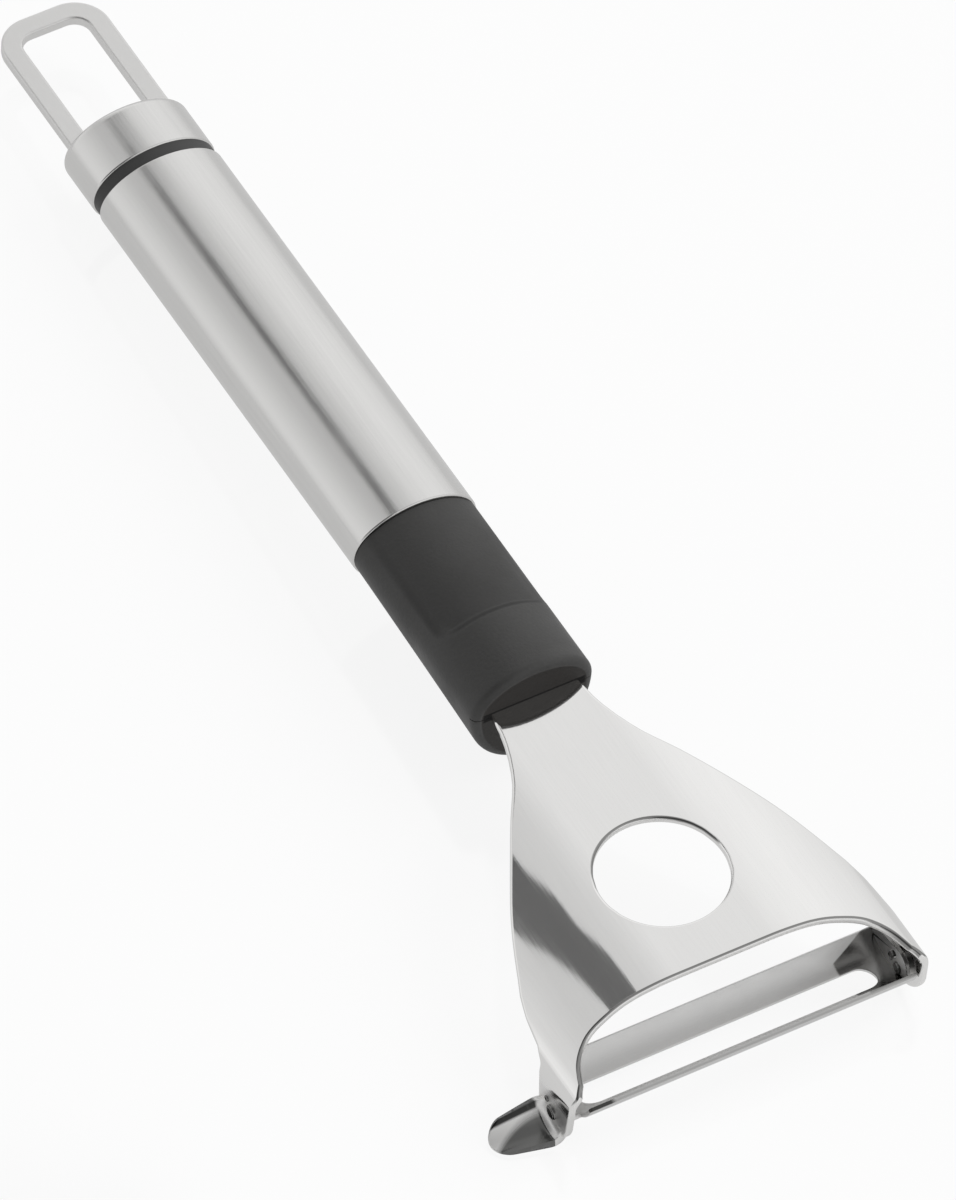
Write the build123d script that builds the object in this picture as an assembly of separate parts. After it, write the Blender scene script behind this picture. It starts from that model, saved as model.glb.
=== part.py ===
from build123d import *
import os
from math import asin, cos, radians, sin

# Millimetres. X runs across the head, Y from the head to the hanging loop, Z up.
# The origin is the centre of the round hole in the head, at mid-sheet.

# Head sheet, one stamped and bent piece of steel
sheet_thickness = 1.2
head_width = 57.6
flat_width = 14.6
crown_radius = 36.0
ear_bend_radius = 4.0
neck_width = 14.4
hole_radius = 9.6
hole_to_handle = 35.6
hole_to_web_edge = 17.0
hole_to_ear_rear = 17.0
ear_width = 8.8
ear_length = 8.2
ear_front_lean = 1.7
ear_front_corner_radius = 4.5
ear_rear_corner_radius = 2.0
web_corner_reach = 8.0
tang_length = 30.0

# Edge of the head from the neck to the ear: share of the widening, share of the run
flare_shares = [(0.13, 0.21), (0.315, 0.335), (0.5, 0.465), (0.685, 0.606), (0.83, 0.745)]
flare_end_share = 0.855
flare_end_slope_share = 0.2
shoulder_angle = 41.0

# Front edge of the web: share of the half width, share of the corner's reach
web_edge_shares = [(0.64, 0.06), (0.79, 0.22), (0.87, 0.49)]
web_edge_end_share = (0.93, 1.0)
web_end_slope_share = 0.35
web_flat_share = 0.45

# Gouge, a spoon-shaped tab on the left ear
gouge_reach = 9.2
gouge_hollow_radius = 4.6
gouge_half_angle = 36.0
gouge_roll = 22.0
gouge_taper = 1.1
gouge_tip_radius = 1.9
gouge_behind_front = 3.3
gouge_above_end = 5.76

# Blade, a slotted trough on two pivot pins
blade_thickness = 0.6
blade_radius = 7.1
blade_half_angle = 64.5
blade_set_back = 1.3
blade_rest_tilt = -10.0
blade_slot_margin = 3.4
blade_slot_width = 4.7
blade_side_gap = 0.4
blade_wing_gap = 1.7
lug_width = 7.2
lug_rise = 3.4
lug_corner_radius = 2.4
pivot_above_ear_end = 4.0
pivot_behind_ear_front = 5.0
pivot_above_trough = 1.4

# Pins of the blade
pivot_pin_radius = 0.85
pivot_head_radius = 1.15
pivot_head_height = 0.35
pivot_end_past_lug = 0.3
pivot_clearance = 0.05
stop_pin_radius = 0.5
stop_pin_spacing = 2.05
stop_pin_angle = 43.0
stop_head_height = 0.2
stop_clearance = 0.1
swivel_limit = 20.0
swivel_spare_angle = 1.5

# Handle, an oval about the Y axis
handle_width = 20.0
handle_height = 14.0
tube_length = 73.4
tube_wall = 0.8
tube_edge_rounding = 0.25
ring_length = 2.0
ring_recess = 0.25
cap_length = 9.3
cap_wall = 0.8
cap_edge_rounding = 1.3
seat_clearance = 0.05

# Grip between the tube and the head
collar_length = 33.8
collar_recess = 0.25
collar_wall = 1.8
collar_front_wall = 2.5
collar_heel_depth = 11.8
collar_edge_rounding = 1.2
thumb_recess_depth = 0.7
thumb_floor_radius = 13.5
thumb_recess_start = 11.6
core_spigot_length = 16.0
tang_pin_radius = 1.5
tang_pin_height = 8.0
tang_pin_spacing = 11.0
tang_pin_inset = 11.0

# Hanging loop and the plug that holds it
loop_reach = 24.8
loop_width = 16.9
loop_strip_width = 3.1
loop_thickness = 1.7
loop_rise = 1.0
loop_outer_radius = 5.5
loop_inner_radius = 2.5
loop_edge_rounding = 0.35
loop_leg_depth = 13.0
plug_depth = 12.0
loop_pin_radius = 1.0
loop_pin_height = 6.0
loop_pin_inset = 4.0

# How far a cutting body runs past what it cuts
overrun = 6.0

# Places that follow from the sizes
half_head = head_width / 2
half_sheet = sheet_thickness / 2
half_neck = neck_width / 2
half_flat = flat_width / 2
ear_front_y = -hole_to_ear_rear - ear_width
ear_inner_x = half_head - sheet_thickness
collar_y = hole_to_handle
tube_y = collar_y + collar_length
ring_y = tube_y + tube_length
cap_y = ring_y + ring_length
cap_end_y = cap_y + cap_length
loop_end_y = cap_end_y + loop_reach
leg_y = cap_end_y - loop_leg_depth
loop_pin_y = leg_y + loop_pin_inset
loop_low_z = loop_rise - loop_thickness / 2
half_oval_width = handle_width / 2
half_oval_height = handle_height / 2
tube_inset = tube_wall + seat_clearance
core_inset = collar_recess + collar_wall
bend_reach = half_head - half_sheet - half_flat - ear_bend_radius
bend_turn = asin(bend_reach / (crown_radius - ear_bend_radius))
bend_x = half_flat + bend_reach
bend_z = -crown_radius + (crown_radius - ear_bend_radius) * cos(bend_turn)
ear_depth = ear_length - bend_z
gouge_y = ear_front_y + gouge_behind_front
gouge_z = -ear_depth + gouge_above_end
gouge_outer_radius = gouge_hollow_radius + sheet_thickness
pivot_y = ear_front_y + pivot_behind_ear_front
pivot_z = -ear_depth + pivot_above_ear_end
stop_y = pivot_y + stop_pin_spacing * cos(radians(stop_pin_angle))
stop_z = pivot_z + stop_pin_spacing * sin(radians(stop_pin_angle))
trough_y = pivot_y + blade_set_back
trough_z = pivot_z - pivot_above_trough + blade_radius
trough_outer_radius = blade_radius + blade_thickness / 2
trough_inner_radius = blade_radius - blade_thickness / 2
lug_outer_x = ear_inner_x - blade_side_gap
lug_inner_x = lug_outer_x - blade_thickness


def block(x0, x1, y0, y1, z0, z1):
    """Box between two corners."""
    box = Box(x1 - x0, y1 - y0, z1 - z0, align=(Align.MIN, Align.MIN, Align.MIN))
    return box.moved(Location((x0, y0, z0)))


def oval(half_width, height_up, height_down, y):
    """Oval face square to Y, with its own half heights above and below."""
    upper = EllipticalCenterArc((0, 0), half_width, height_up, 0, arc_size=180)
    lower = EllipticalCenterArc((0, 0), half_width, height_down, 180, arc_size=180)
    return Plane.XZ.offset(-y) * Face(Wire([upper, lower]))


def oval_bar(inset, start_y, length):
    """Straight bar of the handle's oval, drawn in all round by the inset."""
    height = half_oval_height - inset
    face = oval(half_oval_width - inset, height, height, start_y)
    return extrude(face, amount=length, dir=(0, 1, 0))


def pin_z(radius, height, x, y):
    """Cross pin along Z, centred on the sheet."""
    return Cylinder(radius, height).moved(Location((x, y, 0)))


def rod_x(radius, x0, x1, y, z):
    """Rod along X between two places."""
    rod = Cylinder(radius, x1 - x0).rotate(Axis.Y, 90)
    return rod.moved(Location(((x0 + x1) / 2, y, z)))


def on_side(face, x0, x1):
    """Face drawn in Y and Z, run along X between two places."""
    return extrude(Plane.YZ.offset(x0) * face, amount=x1 - x0, dir=(1, 0, 0))


def channel_lines(level):
    """One face of the bent sheet in XZ, from below one ear to below the other."""
    crown = crown_radius + level
    bend = ear_bend_radius + level
    half_turn = bend_turn / 2
    late_turn = (bend_turn + radians(90)) / 2
    start = (half_flat, level)
    crown_mid = (half_flat + crown * sin(half_turn), -crown_radius + crown * cos(half_turn))
    crown_end = (half_flat + crown * sin(bend_turn), -crown_radius + crown * cos(bend_turn))
    bend_mid = (bend_x + bend * sin(late_turn), bend_z + bend * cos(late_turn))
    bend_end = (bend_x + bend, bend_z)
    right = [
        Line((0, level), start),
        ThreePointArc(start, crown_mid, crown_end),
        ThreePointArc(crown_end, bend_mid, bend_end),
        Line(bend_end, (bend_x + bend, -2 * ear_depth)),
    ]
    return right + [edge.mirror(Plane.YZ) for edge in right]


def channel():
    """Outer face of the head sheet before trimming: its bent line run along Y."""
    lines = Wire(channel_lines(half_sheet))
    start_y = ear_front_y - overrun
    run = Vector(0, hole_to_handle - start_y, 0)
    lines = Plane.XZ.offset(-start_y) * lines
    return Shell([Face.extrude(line, run) for line in lines.edges()])


def flare_point(share):
    """Point on the head's side edge, seen from above."""
    run = hole_to_handle + hole_to_ear_rear
    return half_neck + share[0] * (half_head - half_neck), hole_to_handle - share[1] * run


def shoulder_point():
    """Point on the bend where the head's side edge turns down to the ear."""
    bend = ear_bend_radius + half_sheet
    angle = radians(shoulder_angle)
    y = flare_point((1, flare_end_share))[1]
    return bend_x + bend * sin(angle), y, bend_z + bend * cos(angle)


def web_point(share):
    """Point on the web's front edge, seen from above."""
    return share[0] * half_head, -hole_to_web_edge - share[1] * web_corner_reach


def head_outline():
    """Head seen from above: neck, flare and the arched front edge."""
    neck = (half_neck, hole_to_handle)
    flare_end = shoulder_point()[:2]
    web_end = web_point(web_edge_end_share)
    web_start = (web_flat_share * half_head, -hole_to_web_edge)
    outer_x = half_head + overrun
    lean = (ear_front_y - web_end[1]) / (half_head - web_end[0])
    wing = (outer_x, flare_end[1] - overrun * flare_end_slope_share)
    front = (outer_x, ear_front_y + lean * overrun)
    flare = Spline(
        [neck] + [flare_point(share) for share in flare_shares] + [flare_end],
        tangents=[(0, -1), (flare_end_slope_share, -1)],
    )
    arch = Spline(
        [web_start] + [web_point(share) for share in web_edge_shares] + [web_end],
        tangents=[(1, 0), (web_end_slope_share, -1)],
    )
    right = [
        Line((0, hole_to_handle), neck),
        flare,
        Line(flare_end, wing),
        Line(wing, front),
        Line(front, web_end),
        arch,
        Line(web_start, (0, -hole_to_web_edge)),
    ]
    return Face(Wire(right + [edge.mirror(Plane.YZ) for edge in right]))


def shoulder_face():
    """What is cut away behind the ears, drawn in Y and Z."""
    crest = shoulder_point()[1:]
    fall = flare_end_slope_share * sin(radians(shoulder_angle))
    low_z = -2 * ear_depth - overrun
    start = (-hole_to_ear_rear, bend_z)
    edge = Spline([start, crest], tangents=[(0, 1), (1, fall)])
    back = Polyline(crest, (crest[0], low_z), (start[0], low_z), start)
    return Face(Wire([edge] + back.edges()))


def ear_face():
    """An ear seen from the side, with its rounded lower corners."""
    front_low = (ear_front_y + ear_front_lean, -ear_depth)
    rear_low = (-hole_to_ear_rear, -ear_depth)
    with BuildSketch() as sketch:
        with BuildLine():
            Polyline(
                (ear_front_y, bend_z), (-hole_to_ear_rear, bend_z), rear_low, front_low, close=True
            )
        make_face()
        fillet(sketch.vertices().sort_by_distance((*front_low, 0))[0], ear_front_corner_radius)
        fillet(sketch.vertices().sort_by_distance((*rear_low, 0))[0], ear_rear_corner_radius)
    return sketch.sketch


def ring_slice(inner_radius, outer_radius, middle_angle, half_angle):
    """Slice of a flat ring about the origin."""
    middle = Vector(1, 0).rotate(Axis.Z, middle_angle)
    low = middle.rotate(Axis.Z, -half_angle)
    high = middle.rotate(Axis.Z, half_angle)
    lines = [
        ThreePointArc(low * outer_radius, middle * outer_radius, high * outer_radius),
        Line(high * outer_radius, high * inner_radius),
        ThreePointArc(high * inner_radius, middle * inner_radius, low * inner_radius),
        Line(low * inner_radius, low * outer_radius),
    ]
    return Face(Wire(lines))


def gouge_section(inner_radius):
    """Hollow of the gouge in Y and Z, rolled towards the front."""
    section = ring_slice(inner_radius, gouge_outer_radius, gouge_roll - 90, gouge_half_angle)
    return section.moved(Location((gouge_y, gouge_z, 0)))


def ear_cutter(kept, x0, x1):
    """What is cut away round one ear below its bend."""
    field = Rectangle(4 * ear_width, 3 * ear_depth, align=(Align.CENTER, Align.MAX))
    field = field.moved(Location((pivot_y, bend_z, 0)))
    return on_side(field - kept, x0, x1)


def gouge():
    """Spoon-shaped tab that points out from the left ear's lower end."""
    root_x = -ear_inner_x
    tip_x = -half_head - gouge_reach
    bar = on_side(gouge_section(gouge_hollow_radius), tip_x, root_x)
    front_y = gouge_y + gouge_outer_radius * sin(radians(gouge_roll - gouge_half_angle))
    rear_y = gouge_y + gouge_outer_radius * sin(radians(gouge_roll + gouge_half_angle))
    tip_front = (tip_x, front_y + gouge_taper)
    tip_rear = (tip_x, rear_y - gouge_taper)
    with BuildSketch() as plan:
        with BuildLine():
            Polyline((root_x, front_y), tip_front, tip_rear, (root_x, rear_y), close=True)
        make_face()
        fillet(plan.vertices().group_by(Axis.X)[0], gouge_tip_radius)
    return bar & extrude(plan.sketch, amount=3 * ear_depth, both=True)


def head_sheet():
    """Neck, web and ears: the bent face trimmed to its outline, then thickened inward."""
    plan = extrude(head_outline(), amount=3 * ear_depth, both=True)
    outer_x = half_head + overrun
    face = channel() & plan
    face = face - on_side(shoulder_face(), -outer_x, outer_x)
    face = face - ear_cutter(ear_face(), 0, outer_x)
    face = face - ear_cutter(ear_face() + gouge_section(sheet_thickness), -outer_x, 0)
    sheet = Solid.thicken(Shell(face.faces()), -sheet_thickness)
    return sheet - Cylinder(hole_radius, 2 * overrun)


def head_plate():
    """Tang, neck, web with its round hole, two ears and the gouge."""
    tang_y = hole_to_handle + tang_length
    tang = block(-half_neck, half_neck, hole_to_handle, tang_y, -half_sheet, half_sheet)
    body = head_sheet() + tang + gouge()
    for y in tang_pin_places():
        body = body - pin_z(tang_pin_radius, 2 * overrun, 0, y)
    for side in (-1, 1):
        x0, x1 = sorted((side * bend_x, side * (half_head + overrun)))
        body = body - rod_x(pivot_pin_radius, x0, x1, pivot_y, pivot_z)
        body = body - rod_x(stop_pin_radius, x0, x1, stop_y, stop_z)
    return body


def tang_pin_places():
    """Places of the two cross pins along Y."""
    return [collar_y + tang_pin_inset + step * tang_pin_spacing for step in (0, 1)]


def stop_slot():
    """Curved slot in a lug that the stop pin limits, in Y and Z from the pivot."""
    radius = stop_pin_radius + stop_clearance
    limit = swivel_limit + swivel_spare_angle
    inner = stop_pin_spacing - radius
    outer = stop_pin_spacing + radius
    slot = ring_slice(inner, outer, stop_pin_angle, limit)
    for angle in (stop_pin_angle - limit, stop_pin_angle + limit):
        end = Vector(stop_pin_spacing, 0).rotate(Axis.Z, angle)
        slot = slot + Circle(radius).moved(Location(end))
    return slot


def lug_face():
    """End lug of the blade in Y and Z, from the pivot."""
    depth = trough_outer_radius
    top = lug_rise
    shape = Rectangle(lug_width, depth + top, align=(Align.CENTER, Align.MAX))
    shape = shape.moved(Location((blade_set_back, top, 0)))
    with BuildSketch() as sketch:
        add(shape)
        fillet(sketch.vertices().group_by(Axis.Y)[-1], lug_corner_radius)
    disc = Circle(trough_outer_radius).moved(Location((blade_set_back, trough_z - pivot_z, 0)))
    lug = sketch.sketch & disc
    return lug - Circle(pivot_pin_radius + pivot_clearance) - stop_slot()


def swivel_blade():
    """Slotted trough with an upright lug at each end."""
    half_angle = radians(blade_half_angle)
    reach = trough_outer_radius * sin(half_angle)
    edge_z = trough_z - blade_radius * cos(half_angle)
    ring = Circle(trough_outer_radius) - Circle(trough_inner_radius)
    ring = ring.moved(Location((trough_y, trough_z, 0)))
    band = Rectangle(2 * reach, 2 * blade_radius, align=(Align.CENTER, Align.MAX))
    band = band.moved(Location((trough_y, edge_z, 0)))
    body = on_side(ring & band, -lug_outer_x, lug_outer_x)
    wing_x = lug_outer_x - blade_wing_gap
    for side in (-1, 1):
        for edge in (-1, 1):
            x0, x1 = sorted((side * wing_x, side * (lug_outer_x + overrun)))
            near, far = edge * lug_width / 2, edge * (reach + overrun)
            y0, y1 = sorted((trough_y + near, trough_y + far))
            body = body - block(x0, x1, y0, y1, 2 * pivot_z, 0)
    for x0 in (-lug_outer_x, lug_inner_x):
        lug = lug_face().moved(Location((pivot_y, pivot_z, 0)))
        body = body + on_side(lug, x0, x0 + blade_thickness)
    slot = SlotOverall(2 * (lug_outer_x - blade_slot_margin), blade_slot_width)
    slot = slot.moved(Location((0, trough_y, pivot_z - overrun)))
    body = body - extrude(slot, amount=2 * overrun, dir=(0, 0, 1))
    return body.rotate(Axis((0, pivot_y, pivot_z), (1, 0, 0)), blade_rest_tilt)


def pivot_pin(side):
    """Riveted pivot pin of one ear, with its head outside."""
    x0, x1 = sorted((side * (lug_inner_x - pivot_end_past_lug), side * half_head))
    shank = rod_x(pivot_pin_radius, x0, x1, pivot_y, pivot_z)
    x0, x1 = sorted((side * half_head, side * (half_head + pivot_head_height)))
    return shank + rod_x(pivot_head_radius, x0, x1, pivot_y, pivot_z)


def stop_pin(side):
    """Stop pin of one ear, through the curved slot of the lug."""
    inner_x = lug_inner_x - pivot_end_past_lug
    x0, x1 = sorted((side * inner_x, side * (half_head + stop_head_height)))
    return rod_x(stop_pin_radius, x0, x1, stop_y, stop_z)


def grip_core():
    """Hard core moulded round the tang, with a spigot into the tube."""
    core_y = collar_y + collar_front_wall
    core = oval_bar(core_inset, core_y, tube_y - core_y)
    core = core + oval_bar(tube_inset, tube_y, core_spigot_length)
    tang_end = hole_to_handle + tang_length
    core = core - block(-half_neck, half_neck, 0, tang_end, -half_sheet, half_sheet)
    for y in tang_pin_places():
        core = core - pin_z(tang_pin_radius, tang_pin_height, 0, y)
    return core


def thumb_recess(top):
    """Shallow seat for the thumb, cut down from the sleeve's upper side."""
    recess_y = collar_y + thumb_recess_start
    field = block(-handle_width, handle_width, recess_y, tube_y + overrun, 0, handle_height)
    floor_z = top - thumb_recess_depth - thumb_floor_radius
    floor = Plane.XZ * Circle(thumb_floor_radius).moved(Location((0, floor_z, 0)))
    return field - extrude(floor, amount=2 * tube_y, both=True)


def grip_collar():
    """Soft sleeve over the core, deeper below towards the head."""
    side = half_oval_width - collar_recess
    top = half_oval_height - collar_recess
    front = oval(side, top, collar_heel_depth, collar_y)
    rear = oval(side, top, top, tube_y)
    body = loft([front, rear], ruled=True)
    body = body.fillet(collar_edge_rounding, body.faces().sort_by(Axis.Y)[0].edges())
    body = body - thumb_recess(top)
    body = body - oval_bar(core_inset, collar_y + collar_front_wall, collar_length)
    return body - block(-half_neck, half_neck, 0, tube_y, -half_sheet, half_sheet)


def handle_tube():
    """Oval steel tube between the collar and the ring."""
    body = oval_bar(0, tube_y, tube_length)
    for face in (body.faces().sort_by(Axis.Y)[0], body.faces().sort_by(Axis.Y)[-1]):
        body = body.fillet(tube_edge_rounding, face.edges())
    return body - oval_bar(tube_wall, tube_y - overrun, tube_length + 2 * overrun)


def loop_legs(spare):
    """Space of the two loop legs, wider all round by the spare."""
    half_width = loop_width / 2 + spare
    inner = loop_width / 2 - loop_strip_width - spare
    low_z = loop_low_z - spare
    high_z = loop_low_z + loop_thickness + spare
    legs = block(-half_width, half_width, leg_y - spare, cap_end_y + overrun, low_z, high_z)
    return legs - block(-inner, inner, 0, loop_end_y, -handle_height, handle_height)


def cap_ring():
    """Thin black ring between the tube and the end cap."""
    ring = oval_bar(ring_recess, ring_y, ring_length)
    neck = oval_bar(tube_wall, ring_y - overrun, ring_length + 2 * overrun)
    return ring - neck


def end_cap():
    """Steel cap with two slots for the loop legs."""
    body = oval_bar(0, cap_y, cap_length)
    body = body.fillet(cap_edge_rounding, body.faces().sort_by(Axis.Y)[-1].edges())
    body = body.fillet(tube_edge_rounding, body.faces().sort_by(Axis.Y)[0].edges())
    body = body - oval_bar(cap_wall, cap_y - overrun, cap_length - cap_wall + overrun)
    return body - loop_legs(seat_clearance)


def end_plug():
    """Hidden plug that carries the ring, the cap and the loop."""
    plug_y = ring_y - plug_depth
    plug_end = cap_end_y - cap_wall - seat_clearance
    body = oval_bar(tube_inset, plug_y, plug_end - plug_y)
    body = body - loop_legs(0)
    for x in loop_pin_places():
        body = body - pin_z(loop_pin_radius, loop_pin_height, x, loop_pin_y)
    return body


def loop_pin_places():
    """Places of the two loop pins along X."""
    middle = (loop_width - loop_strip_width) / 2
    return (-middle, middle)


def hanging_loop():
    """Flat steel loop with two legs that run into the plug."""
    length = loop_end_y - leg_y
    outer = Rectangle(loop_width, length, align=(Align.CENTER, Align.MIN))
    inner_width = loop_width - 2 * loop_strip_width
    inner = Rectangle(inner_width, length - loop_strip_width, align=(Align.CENTER, Align.MIN))
    with BuildSketch() as sketch:
        add(outer)
        fillet(sketch.vertices().group_by(Axis.Y)[-1], loop_outer_radius)
    with BuildSketch() as eye:
        add(inner)
        fillet(eye.vertices().group_by(Axis.Y)[-1], loop_inner_radius)
    plan = (sketch.sketch - eye.sketch).moved(Location((0, leg_y, loop_low_z)))
    body = extrude(plan, amount=loop_thickness, dir=(0, 0, 1))
    long_edges = body.faces().sort_by(Axis.Z)[0].edges() + body.faces().sort_by(Axis.Z)[-1].edges()
    body = body.fillet(loop_edge_rounding, long_edges)
    for x in loop_pin_places():
        body = body - pin_z(loop_pin_radius, 2 * overrun, x, loop_pin_y)
    return body


tang_pins = [pin_z(tang_pin_radius, tang_pin_height, 0, y) for y in tang_pin_places()]
loop_pins = [pin_z(loop_pin_radius, loop_pin_height, x, loop_pin_y) for x in loop_pin_places()]

parts = {
    "head_plate": head_plate(),
    "swivel_blade": swivel_blade(),
    "pivot_pin_left": pivot_pin(-1),
    "pivot_pin_right": pivot_pin(1),
    "stop_pin_left": stop_pin(-1),
    "stop_pin_right": stop_pin(1),
    "grip_core": grip_core(),
    "grip_collar": grip_collar(),
    "tang_pins": Compound(children=tang_pins),
    "handle_tube": handle_tube(),
    "cap_ring": cap_ring(),
    "end_cap": end_cap(),
    "end_plug": end_plug(),
    "hanging_loop": hanging_loop(),
    "loop_pins": Compound(children=loop_pins),
}

os.makedirs("parts", exist_ok=True)
for name, shape in parts.items():
    export_step(shape, f"parts/{name}.step")
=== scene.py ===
# %% [markdown]
# # A wide-headed peeler
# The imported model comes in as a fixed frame, in metres. Its plain solids stay where
# they already look right, and sheet pieces are made again here, because a real sheet
# has rounded edges and smooth bends that catch the light.

from math import acos, asin, cos, degrees, hypot, pi, radians, sin, tan

import bmesh
import bpy
from mathutils import Matrix, Vector
from mathutils.geometry import interpolate_bezier


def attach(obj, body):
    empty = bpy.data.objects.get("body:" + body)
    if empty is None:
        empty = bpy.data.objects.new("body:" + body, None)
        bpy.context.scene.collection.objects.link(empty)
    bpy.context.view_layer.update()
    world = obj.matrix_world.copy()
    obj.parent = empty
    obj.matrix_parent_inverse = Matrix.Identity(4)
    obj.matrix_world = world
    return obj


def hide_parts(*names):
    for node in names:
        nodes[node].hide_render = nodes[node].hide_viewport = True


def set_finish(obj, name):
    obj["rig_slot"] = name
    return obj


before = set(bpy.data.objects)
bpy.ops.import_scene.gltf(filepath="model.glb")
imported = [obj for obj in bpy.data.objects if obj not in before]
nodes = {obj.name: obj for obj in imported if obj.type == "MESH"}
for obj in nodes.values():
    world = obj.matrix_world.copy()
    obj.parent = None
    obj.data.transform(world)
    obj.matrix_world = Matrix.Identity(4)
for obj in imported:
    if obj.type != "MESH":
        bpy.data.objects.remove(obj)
bpy.context.view_layer.update()
MM = 0.001

# %% [markdown]
# ## Small helpers
# An operator acts on all that is selected, so every step starts from nothing selected.
# Faces, edges and vertices are then picked by their place, as by hand with a box.


# %% Selection helpers
def only(piece):
    """Makes one object the selected and active one."""
    for other in bpy.context.selected_objects:
        other.select_set(False)
    piece.select_set(True)
    bpy.context.view_layer.objects.active = piece


def edit(piece, kind="VERT"):
    """Goes into edit mode on one piece, with nothing selected."""
    only(piece)
    bpy.ops.object.mode_set(mode="EDIT")
    bpy.ops.mesh.select_mode(type=kind)
    bpy.ops.mesh.select_all(action="DESELECT")


def pick(piece, test, kind="verts"):
    """Selects the vertices or the faces whose middle point passes a test."""
    mesh = bmesh.from_edit_mesh(piece.data)
    for item in getattr(mesh, kind):
        if test(item.co if kind == "verts" else item.calc_center_median()):
            item.select_set(True)
    mesh.select_flush_mode()
    bmesh.update_edit_mesh(piece.data)


def leave():
    """Goes back to object mode."""
    bpy.ops.object.mode_set(mode="OBJECT")


def turn_over(piece):
    """Turns the faces of an open sheet round, where they look inwards."""
    edit(piece, "FACE")
    bpy.ops.mesh.select_all(action="SELECT")
    bpy.ops.mesh.flip_normals()
    leave()


# %% Finishing helpers

def apply_all(piece):
    """Applies every modifier, in order."""
    only(piece)
    for modifier in list(piece.modifiers):
        bpy.ops.object.modifier_apply(modifier=modifier.name)


def join(piece, others, name):
    """Makes other pieces part of the first one, which takes the name."""
    only(piece)
    for other in others:
        other.select_set(True)
    bpy.ops.object.join()
    piece.name = piece.data.name = name


def settle(piece, name, angle=30):
    """Puts a piece's place in its mesh, closes it, smooths it and names it."""
    only(piece)
    bpy.ops.object.transform_apply(location=True, rotation=True, scale=True)
    edit(piece)
    bpy.ops.mesh.select_all(action="SELECT")
    bpy.ops.mesh.remove_doubles(threshold=0.000002)
    bpy.ops.mesh.normals_make_consistent(inside=False)
    leave()
    bpy.ops.object.shade_smooth_by_angle(angle=radians(angle))
    piece.name = piece.data.name = name
    box = [tuple(round(v / MM, 2) for v in piece.bound_box[i]) for i in (0, 6)]
    print(name, len(piece.data.polygons), "faces, box in mm", box)
    return piece


# %% [markdown]
# ## Lines and blanks
# A stamped part starts as a flat blank. Its outline is drawn as smooth lines through a
# few measured points, filled as one face, and cut along close fold lines. Then the
# blank is bent by turning all that lies beyond each fold line by a small angle. The
# bend is exact, each strip stays flat, and the outline keeps its true length.


# %% Smooth line through points
def smooth_line(points, first, last, steps=10):
    """Points of a smooth line through the given ones, with its directions at both ends."""
    points = [Vector(p) for p in points]
    spans = [(b - a).length for a, b in zip(points, points[1:])]
    slopes = [Vector(first).normalized()]
    for before, here, after, a, b in zip(points, points[1:], points[2:], spans, spans[1:]):
        slopes.append(((here - before) / a * b + (after - here) / b * a) / (a + b))
    slopes.append(Vector(last).normalized())
    line = [points[0]]
    for i, span in enumerate(spans):
        start, end = points[i], points[i + 1]
        knob_a = start + slopes[i] * span / 3
        knob_b = end - slopes[i + 1] * span / 3
        line += interpolate_bezier(start.to_3d(), knob_a.to_3d(), knob_b.to_3d(),
                                   end.to_3d(), steps + 1)[1:]
    return [(p[0], p[1]) for p in line]


def arc(centre, radius, start, end, steps=8):
    """Points of an arc between two angles in degrees."""
    turns = [radians(start + (end - start) * i / steps) for i in range(steps + 1)]
    return [(centre[0] + radius * cos(t), centre[1] + radius * sin(t)) for t in turns]


# %% Blank and fold
def blank(name, outline, holes=()):
    """Flat filled face in XY, in millimetres, from an outline and its holes."""
    bpy.ops.mesh.primitive_plane_add(size=1)
    piece = bpy.context.object
    edit(piece)
    bpy.ops.mesh.select_all(action="SELECT")
    bpy.ops.mesh.delete(type="VERT")
    mesh = bmesh.from_edit_mesh(piece.data)
    for ring in (outline, *holes):
        corners = [mesh.verts.new((x * MM, y * MM, 0)) for x, y in ring]
        for a, b in zip(corners, corners[1:] + corners[:1]):
            mesh.edges.new((a, b)).select_set(True)
    bmesh.update_edit_mesh(piece.data)
    bpy.ops.mesh.remove_doubles(threshold=0.00001)
    bpy.ops.mesh.fill()
    bpy.ops.mesh.dissolve_limited(angle_limit=radians(1), delimit=set())
    leave()
    piece.name = name
    return piece


def cut_lines(piece, places, axis):
    """Cuts a flat blank along lines square to one axis."""
    normal = (1, 0, 0) if axis == 0 else (0, 1, 0)
    edit(piece, "EDGE")
    for place in places:
        point = [0, 0, 0]
        point[axis] = place * MM
        bpy.ops.mesh.select_all(action="SELECT")
        bpy.ops.mesh.bisect(plane_co=point, plane_no=normal, use_fill=False)
    leave()


# %% [markdown]
# ## Sizes of the head
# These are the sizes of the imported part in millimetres, so the sheet made here lies on
# its solid. The blank is drawn as the unrolled outer face: u is the length along the
# sheet from its middle, over the crown and down the ear, and y runs to the handle.

# %% Head sizes
sheet = 1.2
half_flat, half_head = 7.3, 28.8
crown, ear_bend = 36.6, 4.6
crown_mid, ear_mid = crown - sheet / 2, ear_bend - sheet / 2
hole_radius = 9.6
crown_turn = asin((half_head - sheet / 2 - half_flat - ear_mid) / (crown_mid - ear_mid))
bend_x = half_head - ear_bend
bend_z = -crown_mid + (crown_mid - ear_mid) * cos(crown_turn)
crown_end = half_flat + crown * crown_turn
ear_start = crown_end + ear_bend * (pi / 2 - crown_turn)
ear_low = -17.0
ear_end = ear_start + bend_z - ear_low
head_front, tang_end, half_tang = -25.8, 65.6, 7.2
print("along the sheet: crown to", round(crown_end, 2), "ear from", round(ear_start, 2),
      "to", round(ear_end, 2))


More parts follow.
